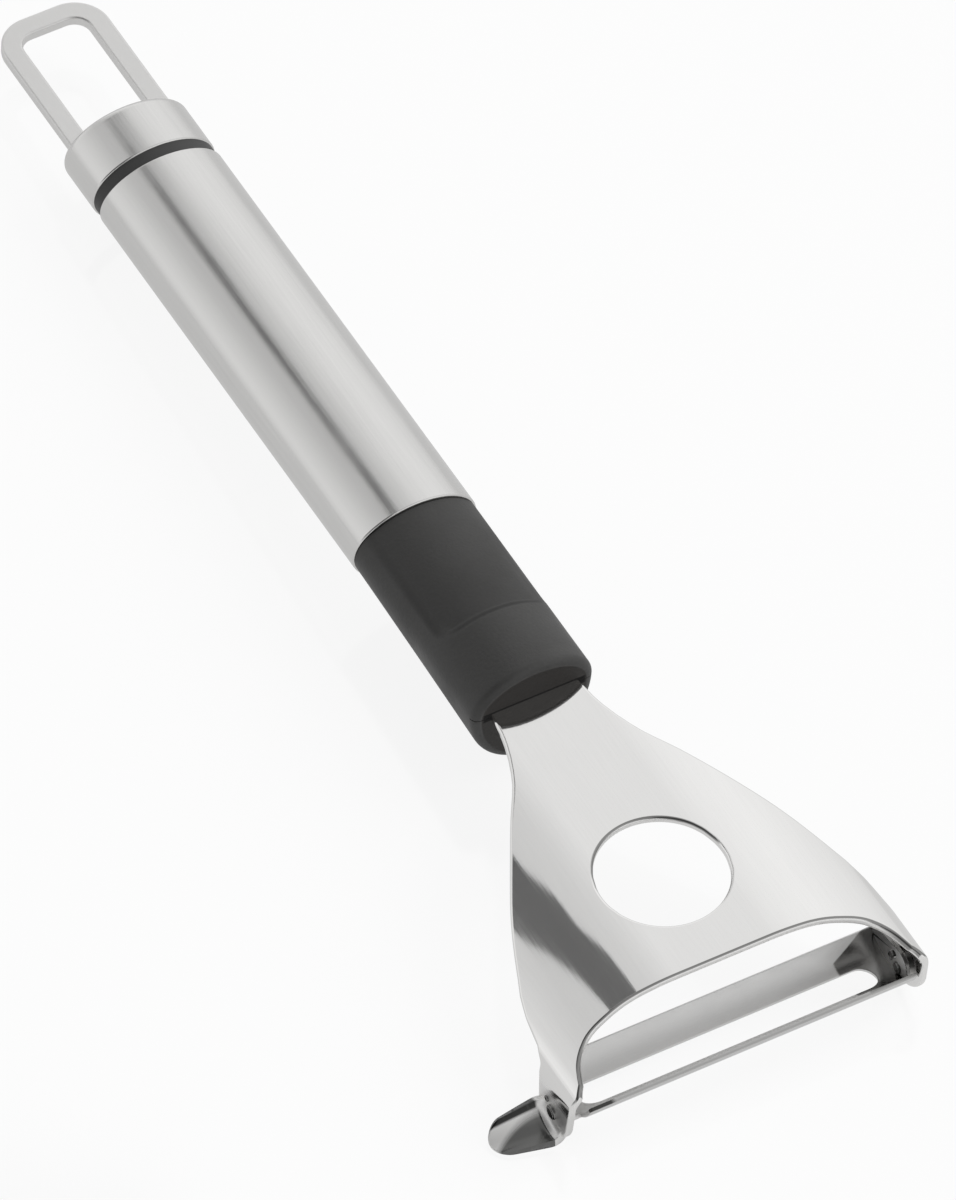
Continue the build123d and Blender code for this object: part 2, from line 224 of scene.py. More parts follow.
def along(x):
    """Length along the sheet's outer face from the middle to a place x seen from above."""
    if x <= half_flat:
        return x
    turn = asin(min(1, (x - half_flat) / crown))
    if turn <= crown_turn:
        return half_flat + crown * turn
    return crown_end + ear_bend * (asin(min(1, (x - bend_x) / ear_bend)) - crown_turn)


def along_down(z):
    """Length along the sheet's outer face to a height z on the bend or the ear."""
    if z <= bend_z:
        return ear_start + bend_z - z
    return crown_end + ear_bend * (acos((z - bend_z) / ear_bend) - crown_turn)



# %% Fold lines of the head
def fold_places(bends):
    """Fold lines and their angles for bends given as (start, end, angle, strips)."""
    folds = {}
    for start, end, angle, strips in bends:
        for i in range(strips + 1):
            share = 0.5 if i in (0, strips) else 1
            place = round(start + (end - start) * i / strips, 5)
            folds[place] = folds.get(place, 0) + share * angle / strips
    return folds


head_folds = fold_places([(half_flat, crown_end, crown_turn, 22),
                          (crown_end, ear_start, pi / 2 - crown_turn, 14)])


def clear_of_folds(outline):
    """Outline without corners very near a fold line, where the cut brings its own."""
    return [(u, y) for u, y in outline
            if abs(u) <= half_flat or min(abs(abs(u) - line) for line in head_folds) > 0.15]


# %% Upper line and front line of one half
shoulder_turn, shoulder_y, arch_y = radians(41), -9.37, -17.0
shoulder_x = bend_x + ear_bend * sin(shoulder_turn)
shoulder_z = bend_z + ear_bend * cos(shoulder_turn)
arch_end = (26.24, -23.4)
flare = smooth_line([(half_tang, 35.6), (10.01, 24.55), (14.0, 17.98), (18.0, 11.14),
                     (22.0, 3.72), (25.13, -3.59), (shoulder_x, shoulder_y)],
                    (0, -1), (0.2, -1))
shoulder = smooth_line([(shoulder_y, shoulder_z), (arch_y, bend_z)], (-1, -0.13), (0, -1), 14)
corner = smooth_line([(half_head, head_front), (27.75, -25.4), (26.75, -24.55), arch_end],
                     (-1, 0.35), (-0.35, 1))
arch = smooth_line([(12.96, arch_y), (18.432, -17.48), (22.752, -18.76), (25.056, -20.92),
                    arch_end], (1, 0), (0.35, -1))


# %% Head outline
def head_side(ear_round):
    """One half of the blank's outline, from the tang down the side to the arch."""
    rear_round, front_slope = 2.0, 1.7
    lean = front_slope / (ear_end - ear_start)
    ear_corner = (ear_end - ear_round,
                  head_front + front_slope + ear_round / cos(lean) - ear_round * tan(lean))
    side = [(half_tang, tang_end)] + [(along(x), y) for x, y in flare]
    side += [(along_down(z), y) for y, z in shoulder[1:]]
    side += arc((ear_end - rear_round, arch_y - rear_round), rear_round, 90, 0, 6)
    side += arc(ear_corner, ear_round, 0, -90 + degrees(lean), 10)
    side.append((ear_start, head_front))
    side += [(along(x), y) for x, y in corner[1:]]
    return side + [(along(x), y) for x, y in arch[-2::-1]]


right = head_side(6.2)
left = [(-u, y) for u, y in reversed(head_side(4.5))]
hole = [(along(abs(x)) * (1 if x >= 0 else -1), y)
        for x, y in arc((0, 0), hole_radius, 0, 360, 96)[:-1]]
head = blank("head_sheet", clear_of_folds(right + left), [clear_of_folds(hole)])
print("head blank", len(head.data.polygons), "faces")

# %% [markdown]
# ## Thickness and rounded edges
# Solidify gives the sheet its wall, drawn inwards from the outer face. A narrow bevel
# rounds every cut edge, as tumbling and polishing do. On the head both are made while
# the blank is flat, because a bevel on the bent sheet would catch on its fold lines.
# Weighted normals keep the wide faces smooth, so that the mirror finish shows no ripple.


# %% Wall and edges
def thicken(piece, wall, rounding, segments=3, group=None):
    """Wall towards the back of the faces, then rounded edges."""
    solid = piece.modifiers.new("wall", "SOLIDIFY")
    solid.thickness = wall * MM
    solid.offset = -1
    solid.use_even_offset = group is None
    if group:
        solid.vertex_group = group
        solid.thickness_vertex_group = 0.25
    apply_all(piece)
    only(piece)
    bpy.ops.object.shade_smooth_by_angle(angle=radians(40))
    bevel = piece.modifiers.new("edge", "BEVEL")
    bevel.width = rounding * MM
    bevel.segments = segments
    bevel.limit_method = "ANGLE"
    bevel.angle_limit = radians(40)
    bevel.use_clamp_overlap = group is not None
    bevel.loop_slide = group is not None
    bevel.miter_outer = "MITER_ARC"
    apply_all(piece)


def even_normals(piece):
    """Wide faces decide the shading beside narrow ones."""
    weighted = piece.modifiers.new("normals", "WEIGHTED_NORMAL")
    weighted.mode = "FACE_AREA"
    weighted.keep_sharp = True
    weighted.weight = 100
    apply_all(piece)


# %% Wall of the head
if head.data.polygons[0].normal.z < 0:
    turn_over(head)
thicken(head, sheet, 0.45, 6)
print("head with its wall", len(head.data.polygons), "faces")

# %% [markdown]
# ## Bend the head
# The crown is a wide, gentle bend, and the ears turn down in a tight one. The outermost
# fold comes first, because what lies inside it is then still flat and easy to pick.


# %% Fold along lines
def fold(piece, folds, axis, side):
    """Turns all that lies beyond each fold line, from the outermost line inwards."""
    turn_axis = "Y" if axis == 0 else "X"
    way = side if axis == 0 else -side
    edit(piece)
    for place in sorted(folds, reverse=True):
        bpy.ops.mesh.select_all(action="DESELECT")
        pick(piece, lambda co: co[axis] * side > (place + 0.0001) * MM)
        centre = [0, 0, 0]
        centre[axis] = side * place * MM
        bpy.ops.transform.rotate(value=-way * folds[place], orient_axis=turn_axis,
                                 center_override=centre)
    leave()


# %% Bent head sheet
cut_lines(head, [s * u for s in (-1, 1) for u in head_folds], 0)
for side in (-1, 1):
    fold(head, head_folds, 0, side)
for corner in head.data.vertices:
    corner.co.z += sheet / 2 * MM
settle(head, "head_sheet")
even_normals(head)

# %% [markdown]
# ## Gouge
# A spoon-shaped tab stands out from the left ear and digs the eyes out of a potato. It
# is a curved strip that leaves the ear through a small bend and gets narrow and thin
# towards its tip. A grid is the start, and each of its rows is put on the curve. The
# wall's thickness follows a vertex group, full at the ear and a quarter at the tip.

# %% Gouge sizes
hollow = 4.6
hollow_y, hollow_z = -22.5, -11.24
front_edge = hollow_y + (hollow + sheet) * sin(radians(-14))
rear_edge = hollow_y + (hollow + sheet) * sin(radians(58))
root_bend = 1.3
tip_x = -37.9
tip_round = 2.5
tip_back, tip_drop = 1.2, 0.7
half_root, root_shift = (rear_edge - front_edge) / 2 * 0.88, -0.15
taper, least_share = 0.7, 0.004
bend_share = 0.3


# %% Gouge surface
def gouge_place(s, t):
    """Point of the hollow face: s runs from the ear to the tip, t from front to rear."""
    if s < bend_share:
        turn = s / bend_share * pi / 2
        x = -half_head - root_bend * (1 - cos(turn))
        lift = root_bend * (1 - sin(turn))
    else:
        run = sin((s - bend_share) / (1 - bend_share) * pi / 2)
        x = -half_head - root_bend + run * (tip_x + half_head + root_bend)
        lift = 0
    share = (-half_head - x) / (-half_head - tip_x)
    over = max(0, (tip_x + tip_round - x) / tip_round)
    half = (half_root - taper * share) * max(least_share, 1 - over ** 2) ** 0.5
    y = (front_edge + rear_edge) / 2 + root_shift + half * (2 * t - 1)
    turn = asin((y - hollow_y) / hollow)
    return Vector((x, y + tip_back * share - lift * sin(turn),
                   hollow_z - (hollow - lift) * cos(turn) - tip_drop * share ** 2)) * MM


bpy.ops.mesh.primitive_grid_add(x_subdivisions=44, y_subdivisions=14, size=2)
gouge = bpy.context.object
for corner in gouge.data.vertices:
    corner.co = gouge_place((corner.co.x + 1) / 2, (corner.co.y + 1) / 2)
thin = gouge.vertex_groups.new(name="thin")
for corner in gouge.data.vertices:
    share = min(1, max(0, (-half_head - corner.co.x / MM) / (-half_head - tip_x)))
    thin.add([corner.index], 1 - share ** 2, "REPLACE")
middle_face = min(gouge.data.polygons, key=lambda f: abs(f.center.x / MM + 33))
if middle_face.normal.z < 0:
    turn_over(gouge)
thicken(gouge, sheet, 0.12, group="thin")
settle(gouge, "gouge", 50)
even_normals(gouge)

# %% [markdown]
# ## Blade
# The blade is a thin strip with a long slot, bent to a trough, with a lug at each end.
# Its two slot edges do the cutting. It is made like the head: blank, cuts, folds.

# %% Blade sizes
steel, trough = 0.6, 7.4
mid_trough = trough - steel / 2
front_turn, back_turn = radians(64.5), radians(59.0)
pivot = Vector((0, -20.8, -13.0))
trough_ahead, trough_below = 1.3, 1.4
trough_y = pivot.y + trough_ahead
trough_z = pivot.z - trough_below + mid_trough
blade_half = 27.2
wings = (26.9, 25.6)
slot_half, half_slot_width = 23.8, 2.35
lug_half, lug_top, lug_corner = 3.9, 3.4, 2.4
lug_rear = {-1: 3.9, 1: 5.7}
eye_radius = 0.9
stop_radius, stop_half_width, stop_angle, stop_swing = 2.05, 0.6, 43, 21.5
blade_tilt = radians(-10)


def round_trough(y):
    """Length along the trough's outer face to a place y beside its middle."""
    return trough * asin(y / mid_trough)


# %% Blade blank
front, back = -trough * front_turn, trough * back_turn
tab = trough * asin(lug_half / trough)
wing_round = 0.4
blade_outline = []
for side, edge in ((1, back), (-1, -front)):
    ends = []
    for way, wing in zip((1, -1), wings):
        quarter = arc((wing - wing_round, edge - wing_round), wing_round, 0, 90, 5)
        ends.append([(way * x, side * y)
                     for x, y in [(blade_half, tab), (wing, tab), *quarter]])
    first, second = ends[::side]
    blade_outline += first + second[::-1]
slot_line = arc((slot_half - half_slot_width, 0), half_slot_width, -90, 90, 16)
slot_line += [(-x, y) for x, y in reversed(slot_line)]
blade = blank("blade", blade_outline, [[(x, round_trough(y)) for x, y in slot_line]])
print("blade blank", len(blade.data.polygons), "faces")

# %% Blade folds
blade_folds = {1: fold_places([(0.0001, back, back_turn, 18)]),
               -1: fold_places([(0.0001, -front, front_turn, 18)])}
for folds in blade_folds.values():
    del folds[max(folds)]
cut_lines(blade, [s * v for s in (1, -1) for v in blade_folds[s]], 1)
for side in (1, -1):
    fold(blade, {v: -a for v, a in blade_folds[side].items()}, 1, side)
for corner in blade.data.vertices:
    corner.co += Vector((0, trough_y, trough_z - trough)) * MM
print("blade folded on", sum(map(len, blade_folds.values())), "lines")

# %% Blade wall, with its outer face below
edit(blade, "FACE")
bpy.ops.mesh.select_all(action="SELECT")
bpy.ops.mesh.normals_make_consistent(inside=False)
leave()
lowest = min(blade.data.polygons, key=lambda f: f.center.z)
if lowest.normal.z > 0:
    turn_over(blade)
thicken(blade, steel, 0.1, 2)
settle(blade, "blade_strip")


# %% Blade lugs
def lug_blank(rear):
    """Lug seen from the side, in Y and Z about the pivot, drawn flat in X and Y."""
    spread = [degrees(asin((half - 0.05) / mid_trough)) for half in (lug_half, rear)]
    outline = arc((trough_ahead, trough_z - pivot.z), mid_trough,
                  -90 - spread[0], -90 + spread[1], 16)
    top = lug_top - lug_corner
    outline += arc((trough_ahead + rear - lug_corner, top), lug_corner, 0, 90, 8)
    outline += arc((trough_ahead - lug_half + lug_corner, top), lug_corner, 90, 180, 8)
    eye = arc((0, 0), eye_radius, 0, 360, 24)[:-1]
    low, high = stop_angle - stop_swing, stop_angle + stop_swing
    stop = []
    for start, end, edge in ((low, high, 1), (high, low, -1)):
        stop += arc((0, 0), stop_radius + edge * stop_half_width, start, end, 8)
        middle = (stop_radius * cos(radians(end)), stop_radius * sin(radians(end)))
        first = end if edge == 1 else end + 180
        stop += arc(middle, stop_half_width, first, first + 180, 6)[1:-1]
    return outline, [eye, stop]


stand_up = Matrix(((0, 0, 1, 0), (1, 0, 0, 0), (0, 1, 0, 0), (0, 0, 0, 1)))
lugs = []
for side in (-1, 1):
    lug = blank("lug", *lug_blank(lug_rear[side]))
    inner_x = blade_half - steel if side == 1 else -blade_half
    lug.data.transform(stand_up)
    lug.data.transform(Matrix.Translation(Vector((inner_x, pivot.y, pivot.z)) * MM))
    if lug.data.polygons[0].normal.x > 0:
        turn_over(lug)
    thicken(lug, steel, 0.08, 2)
    lugs.append(settle(lug, "lug"))

# %% Blade with its lugs, tilted to its rest
join(blade, lugs, "blade")
blade.data.transform(Matrix.Translation(pivot * MM) @ Matrix.Rotation(blade_tilt, 4, "X")
                     @ Matrix.Translation(-pivot * MM))
even_normals(blade)
print("blade", len(blade.data.polygons), "faces")

# %% [markdown]
# ## Pins
# The blade turns on two riveted pins, and a smaller pin beside each one limits its
# swing. A rivet head is pressed, so it is domed with a small dent in its middle.


# %% Rivets
def rivet(name, radius, x0, x1, place, dent):
    """Round pin along X with a domed outer end; x1 is its outer end."""
    way = 1 if x1 > x0 else -1
    depth = abs(x1 - x0) * MM
    bpy.ops.mesh.primitive_cylinder_add(vertices=40, radius=radius * MM, depth=depth)
    pin = bpy.context.object
    edit(pin, "FACE")
    pick(pin, lambda co: co.z > depth * 0.49, "faces")
    bpy.ops.mesh.inset(thickness=radius * 0.3 * MM)
    bpy.ops.mesh.inset(thickness=radius * 0.25 * MM)
    bpy.ops.transform.translate(value=(0, 0, -dent * MM))
    leave()
    bevel = pin.modifiers.new("edge", "BEVEL")
    bevel.width = radius * 0.16 * MM
    bevel.segments = 4
    bevel.angle_limit = radians(30)
    apply_all(pin)
    spot = Vector(((x0 + x1) / 2, place[0], place[1])) * MM
    pin.data.transform(Matrix.Translation(spot) @ Matrix.Rotation(way * pi / 2, 4, "Y"))
    return settle(pin, name)


stop_place = (pivot.y + stop_radius * cos(radians(stop_angle)),
              pivot.z + stop_radius * sin(radians(stop_angle)))
inner_end, cap_sunk, cap_high, stop_high = blade_half - steel - 0.3, 0.1, 0.33, 0.2
pins = []
for word, side in (("left", -1), ("right", 1)):
    shank = rivet("shank", 0.85, side * inner_end, side * half_head, pivot[1:], 0.05)
    cap = rivet("cap", 1.15, side * (half_head - cap_sunk), side * (half_head + cap_high),
                pivot[1:], 0.14)
    join(shank, [cap], f"pivot_rivet_{word}")
    small = rivet(f"stop_rivet_{word}", 0.5, side * inner_end, side * (half_head + stop_high),
                  stop_place, 0.06)
    pins += [(shank, f"pivot_pin_{word}"), (small, f"stop_pin_{word}")]
print("pins", [pin.name for pin, node in pins])

# %% [markdown]
# ## Soft sleeve
# The sleeve is moulded over the core as one soft skin, so it is drawn as oval rings from
# the tube to the head. Its front has a rounded lip, a narrow groove round the end face
# and a parting line beside the sheet. The thumb rest starts with a clear step, has soft
# sides and runs out towards the tube.

# %% Sleeve sizes
sleeve_front, sleeve_rear = 35.6, 69.4
sleeve_half, sleeve_top, heel = 9.75, 6.75, 11.8
lip = 1.2
rest_start, rest_half, rest_corner, rest_depth = 47.0, 8.5, 3.2, 0.85
rest_slope = 1.9
parting = 0.3


# %% Sleeve surface
def rest(x, y):
    """How deep the thumb rest is pressed in at a place."""
    beside = max(0, (0.84 * x if x > 0 else -x) - rest_half + rest_corner)
    before = max(0, rest_start + rest_corner - y)
    share = min(1, max(0, (rest_corner - hypot(beside, before)) / rest_slope))
    run_out = 1 - 0.7 * (y - rest_start) / (sleeve_rear - rest_start)
    return rest_depth * share * share * (3 - 2 * share) * run_out


def sleeve_point(y, inset, scale, turn):
    """Point of the sleeve's skin on one ring, at one angle round it."""
    share = (sleeve_rear - y) / (sleeve_rear - sleeve_front)
    height = sleeve_top if turn <= pi else sleeve_top + (heel - sleeve_top) * share
    if abs(sin(turn)) < 0.0001 and y < sleeve_front + lip:
        y, inset = y + parting, inset + parting
    if y > sleeve_front and inset > lip + 0.3 and scale == 1:
        y = sleeve_front + (y - sleeve_front) * max(0.02, sin(turn)) ** 0.6
    x = (sleeve_half - inset) * scale * cos(turn)
    z = (height - inset) * scale * sin(turn)
    return Vector((x, y, z - (rest(x, y) if z > 0.5 else 0))) * MM


rings = [(sleeve_rear, 1.0, 0), (sleeve_rear, 1.0, 0.5), (sleeve_rear, 1.0, 1)]
rings += [(sleeve_rear, 0.12, 1)]
rings += [(sleeve_rear - 0.12 - 0.75 * i, 0, 1) for i in range(27)]
rings += [(49.0 - 0.12 * i, 0, 1) for i in range(20)]
rings += [(46.4 - 0.8 * i, 0, 1) for i in range(12)]
rings += [(sleeve_front + lip * (1 - sin(radians(t))), lip * (1 - cos(radians(t))), 1)
          for t in range(0, 91, 10)]
rings += [(sleeve_front + 0.03, lip + 0.2, 1), (sleeve_front + 0.12, lip + 0.35, 1),
          (sleeve_front + 0.12, lip + 0.6, 1), (sleeve_front + 0.06, lip + 0.9, 1)]
rings += [(sleeve_front + 0.05, lip + 1.1, scale) for scale in (1, 0.8, 0.5, 0.2, 0)]
turns = [radians(2.25 * i) for i in range(161)]
turns = sorted(turns + [radians(t) for t in (0.6, 179.4, 180.6, 359.4)])
bpy.ops.mesh.primitive_grid_add(x_subdivisions=len(turns) - 1,
                                y_subdivisions=len(rings) - 1, size=2)
sleeve = bpy.context.object
for corner in sleeve.data.vertices:
    column = round((corner.co.x + 1) / 2 * (len(turns) - 1))
    row = round((corner.co.y + 1) / 2 * (len(rings) - 1))
    corner.co = sleeve_point(*rings[row], turns[column])
settle(sleeve, "sleeve", 40)


# %% [markdown]
# The steep walls of the thumb rest and the end face are painted darker than the skin round
# them, as painted shade where they turn away from the light, and the rest grows a little
# darker as it deepens. Two attributes, one value at each vertex, mark these places on the
# mesh, and the black finish reads them later.

# %% Sleeve marks
wall_shade = sleeve.data.attributes.new("rest_wall_shade", "FLOAT", "POINT")
face_shade = sleeve.data.attributes.new("end_face_shade", "FLOAT", "POINT")
for corner in sleeve.data.vertices:
    x, y, z = corner.co / MM
    if z > 0.5:
        left_rise = max(0, rest(x + 0.1, y) - rest(x - 0.1, y))
        front_rise = max(0, rest(x, y + 0.1) - rest(x, y - 0.1))
        mark = max(min(1, left_rise / 0.13) * 0.6, min(1, front_rise / 0.13) ** 1.5 * 0.7)
        wall_shade.data[corner.index].value = max(mark, 0.25 * rest(x, y) / rest_depth)
    height = sleeve_top if z > 0 else heel
    inside = hypot(x / (sleeve_half - lip - 0.2), z / (height - lip - 0.2)) < 1.01
    face_shade.data[corner.index].value = float(inside and y < sleeve_front + lip)
print("sleeve", len(sleeve.data.polygons), "faces")

# %% [markdown]
# ## Riding and slots
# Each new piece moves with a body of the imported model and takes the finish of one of
# its material slots. The solid that it stands for is hidden.


# %% Ride
def finish_piece(piece, body, slot_name, replaced):
    """Puts a piece on its body, names its finish and hides the solid it stands for."""
    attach(piece, body)
    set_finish(piece, slot_name)
    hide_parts(replaced)


finish_piece(head, "handle", "polished_steel", "head_plate")
finish_piece(gouge, "handle", "polished_steel", "head_plate")
finish_piece(blade, "blade", "blade_steel", "swivel_blade")
for pin, node in pins:
    finish_piece(pin, "handle", "pin_steel", node)
finish_piece(sleeve, "handle", "soft_black", "grip_collar")

# %% [markdown]
# ## Grain of steel
# Every steel piece has fine lines from its grinding belt or polishing wheel. One node
# group draws them: noise that is stretched along the lines. It gives a height for a
# bump and a mask for the roughness, and each finish sets its own size and direction.


# %% Node helpers
def new_group(name, inputs, outputs):
    """Empty node group with float or vector sockets."""
    group = bpy.data.node_groups.new(name, "ShaderNodeTree")
    for label, kind, value in inputs:
        socket = group.interface.new_socket(label, in_out="INPUT", socket_type=kind)
        socket.default_value = value
    for label, kind in outputs:
        group.interface.new_socket(label, in_out="OUTPUT", socket_type=kind)
    return group, group.nodes.new("NodeGroupInput"), group.nodes.new("NodeGroupOutput")


def add_node(tree, kind, **values):
    """Node with its settings and its unlinked inputs; a digit picks an input by number."""
    node = tree.nodes.new(kind)
    for key, value in values.items():
        if key.startswith("in_"):
            name = key[3:]
            key = int(name) if name.isdigit() else name.replace("_", " ")
            node.inputs[key].default_value = value
        else:
            setattr(node, key, value)
    return node


def wire(tree, *pairs):
    """Links outputs to inputs, given as pairs of sockets."""
    for source, target in pairs:
        tree.links.new(source, target)


def ramp(tree, stops):
    """Colour ramp of grey stops."""
    node = tree.nodes.new("ShaderNodeValToRGB")
    line = node.color_ramp
    while len(line.elements) < len(stops):
        line.elements.new(0.5)
    for element, (place, grey) in zip(line.elements, stops):
        element.position = place
        element.color = (grey, grey, grey, 1)
    return node


# %% Grain group
grain, grain_in, grain_out = new_group(
    "steel_grain",
    [("Stretch", "NodeSocketVector", (1, 1, 1)), ("Mottle Scale", "NodeSocketFloat", 60.0)],
    [("Height", "NodeSocketFloat"), ("Mask", "NodeSocketFloat")])
place = add_node(grain, "ShaderNodeTexCoord")
stretch = add_node(grain, "ShaderNodeVectorMath", operation="MULTIPLY")
fine = add_node(grain, "ShaderNodeTexNoise", in_Scale=1.0, in_Detail=3.0, in_Roughness=0.6)
coarse = add_node(grain, "ShaderNodeTexNoise", in_Detail=3.0, in_Roughness=0.5)
mixed = add_node(grain, "ShaderNodeMath", operation="MULTIPLY_ADD", in_1=0.35)
wire(grain, (place.outputs["Object"], stretch.inputs[0]),
     (grain_in.outputs["Stretch"], stretch.inputs[1]),
     (stretch.outputs[0], fine.inputs["Vector"]),
     (place.outputs["Object"], coarse.inputs["Vector"]),
     (grain_in.outputs["Mottle Scale"], coarse.inputs["Scale"]),
     (coarse.outputs["Fac"], mixed.inputs[0]), (fine.outputs["Fac"], mixed.inputs[2]),
     (fine.outputs["Fac"], grain_out.inputs["Height"]),
     (mixed.outputs[0], grain_out.inputs["Mask"]))
print("grain group", len(grain.nodes), "nodes")


# %% [markdown]
# ## Painted tones
# Polished steel shows what stands round it, and a real workshop has dark things that a
# white room lacks. Some of their reflections are painted into the colour as tones, each in
# a zone of its own: the dark edge line beside the arch, the dark end of the blade, the hollow
# of the gouge. One bright rim is a painted highlight. A zone is a group that puts out a mask
# from the place on the piece and the way it faces.

# %% Zones by place
normals = {"up": "Z", "back": "Y"}


def zone_where(name, *edges):
    """Group whose mask is the product of straight ramps.

    An edge is (part, 0 at, 1 at). Its part is X, Y or Z in metres, or a way of facing;
    Y-0.4 means that the line leans, by 0.4 of X.
    """
    group, _, group_out = new_group(name, [], [("Mask", "NodeSocketFloat")])
    place = add_node(group, "ShaderNodeTexCoord")
    at = add_node(group, "ShaderNodeSeparateXYZ")
    facing = add_node(group, "ShaderNodeSeparateXYZ")
    group.links.new(place.outputs["Object"], at.inputs[0])
    group.links.new(place.outputs["Normal"], facing.inputs[0])
    last = None
    for part, none_at, all_at in edges:
        source = facing.outputs[normals[part]] if part in normals else at.outputs[part[0]]
        if part not in normals and part[1:]:
            lean = add_node(group, "ShaderNodeMath", operation="MULTIPLY_ADD",
                            in_1=float(part[1:]))
            group.links.new(at.outputs["X"], lean.inputs[0])
            group.links.new(source, lean.inputs[2])
            source = lean.outputs[0]
        edge = add_node(group, "ShaderNodeMapRange", in_1=none_at, in_2=all_at)
        group.links.new(source, edge.inputs[0])
        if last:
            both = add_node(group, "ShaderNodeMath", operation="MULTIPLY")
            group.links.new(last.outputs[0], both.inputs[0])
            group.links.new(edge.outputs[0], both.inputs[1])
            edge = both
        last = edge
    group.links.new(last.outputs[0], group_out.inputs["Mask"])
    return group


def marked(name):
    """Group whose mask is one of the sleeve's marks."""
    group, _, group_out = new_group(name, [], [("Mask", "NodeSocketFloat")])
    mark = add_node(group, "ShaderNodeAttribute", attribute_name=name)
    group.links.new(mark.outputs["Fac"], group_out.inputs["Mask"])
    return group


# %% Hollow shade
# Painted reflection: the upward faces of the gouge's hollow are darkened, as if they mirrored
# dark things round them.
hollow_shade, shade_in, shade_out = new_group(
    "hollow_shade", [("Start", "NodeSocketFloat", -0.0297)], [("Mask", "NodeSocketFloat")])
place = add_node(hollow_shade, "ShaderNodeTexCoord")
parts = add_node(hollow_shade, "ShaderNodeSeparateXYZ")
facing = add_node(hollow_shade, "ShaderNodeSeparateXYZ")
from_root = add_node(hollow_shade, "ShaderNodeMath", operation="ADD", in_1=0.031)
curve = add_node(hollow_shade, "ShaderNodeMath", operation="POWER", in_1=2.0)
edge_y = add_node(hollow_shade, "ShaderNodeMath", operation="MULTIPLY_ADD",
                  in_1=-55.0, in_2=-0.0189)
before = add_node(hollow_shade, "ShaderNodeMath", operation="SUBTRACT")
front_part = add_node(hollow_shade, "ShaderNodeMapRange", in_1=-0.0005, in_2=0.0006)
outside = add_node(hollow_shade, "ShaderNodeMath", operation="LESS_THAN")
upward = add_node(hollow_shade, "ShaderNodeMapRange", in_1=-0.75, in_2=-0.55)
some = add_node(hollow_shade, "ShaderNodeMath", operation="MULTIPLY")
every = add_node(hollow_shade, "ShaderNodeMath", operation="MULTIPLY")
wire(hollow_shade, (place.outputs["Object"], parts.inputs[0]),
     (place.outputs["Normal"], facing.inputs[0]), (parts.outputs["X"], from_root.inputs[0]),
     (from_root.outputs[0], curve.inputs[0]), (curve.outputs[0], edge_y.inputs[0]),
     (edge_y.outputs[0], before.inputs[0]), (parts.outputs["Y"], before.inputs[1]),
     (before.outputs[0], front_part.inputs[0]), (parts.outputs["X"], outside.inputs[0]),
     (shade_in.outputs["Start"], outside.inputs[1]), (facing.outputs["Z"], upward.inputs[0]),
     (front_part.outputs[0], some.inputs[0]), (outside.outputs[0], some.inputs[1]),
     (some.outputs[0], every.inputs[0]), (upward.outputs[0], every.inputs[1]),
     (every.outputs[0], shade_out.inputs["Mask"]))
print("hollow shade", len(hollow_shade.nodes), "nodes")


# %% Steel finish
def steel_finish(name, tint, rough, stretch_by, bump, mottle=60.0, shade=0.06):
    """Metal with grain in its bump, its roughness and, faintly, its colour."""
    material = bpy.data.materials.new(name)
    material.use_nodes = True
    tree = material.node_tree
    shader = tree.nodes["Principled BSDF"]
    shader.inputs["Metallic"].default_value = 1.0
    lines = add_node(tree, "ShaderNodeGroup", node_tree=grain, in_Stretch=stretch_by,
                     in_Mottle_Scale=mottle)
    low, high = rough
    roughness = add_node(tree, "ShaderNodeMapRange", in_1=0.45, in_2=0.9, in_3=low, in_4=high)
    darker = tuple(c * (1 - shade) for c in tint)
    colour = add_node(tree, "ShaderNodeMix", data_type="RGBA")
    colour.inputs[6].default_value = (*darker, 1)
    colour.inputs[7].default_value = (*tint, 1)
    relief = add_node(tree, "ShaderNodeBump", in_Strength=bump, in_Distance=0.00002)
    tree.links.new(lines.outputs["Mask"], roughness.inputs[0])
    tree.links.new(lines.outputs["Mask"], colour.inputs[0])
    tree.links.new(lines.outputs["Height"], relief.inputs["Height"])
    tree.links.new(roughness.outputs[0], shader.inputs["Roughness"])
    tree.links.new(colour.outputs[2], shader.inputs["Base Color"])
    tree.links.new(relief.outputs["Normal"], shader.inputs["Normal"])
    return material


finishes = {
    "polished_steel": steel_finish("polished_steel", (0.87, 0.865, 0.855), (0.04, 0.08),
                                   (3500, 120, 3500), 0.1, 90),
    "brushed_steel": steel_finish("brushed_steel", (0.75, 0.745, 0.735), (0.16, 0.24),
                                  (3000, 60, 3000), 0.2, 120, 0.13),
    "blade_steel": steel_finish("blade_steel", (0.8, 0.797, 0.79), (0.36, 0.5),
                                (600, 9000, 9000), 0.5, 150, 0.14),
    "loop_steel": steel_finish("loop_steel", (0.8, 0.795, 0.785), (0.34, 0.46),
                               (9000, 900, 9000), 0.35, 120),
    "pin_steel": steel_finish("pin_steel", (0.24, 0.24, 0.235), (0.12, 0.22),
                              (3000, 3000, 3000), 0.3, 400, 0.2),
}


def change_where(finish, mask_group, tint, rough):
    """Another tint and roughness where the group's mask is 1."""
    tree = finishes[finish].node_tree
    shader = tree.nodes["Principled BSDF"]
    mask = add_node(tree, "ShaderNodeGroup", node_tree=mask_group)
    for socket, value, kind, first, out in (("Base Color", (*tint, 1), "RGBA", 6, 2),
                                            ("Roughness", rough, "FLOAT", 2, 0)):
        blend = add_node(tree, "ShaderNodeMix", data_type=kind)
        blend.inputs[first + 1].default_value = value
        source = shader.inputs[socket].links[0].from_socket
        tree.links.new(mask.outputs["Mask"], blend.inputs[0])
        tree.links.new(source, blend.inputs[first])
        tree.links.new(blend.outputs[out], shader.inputs[socket])


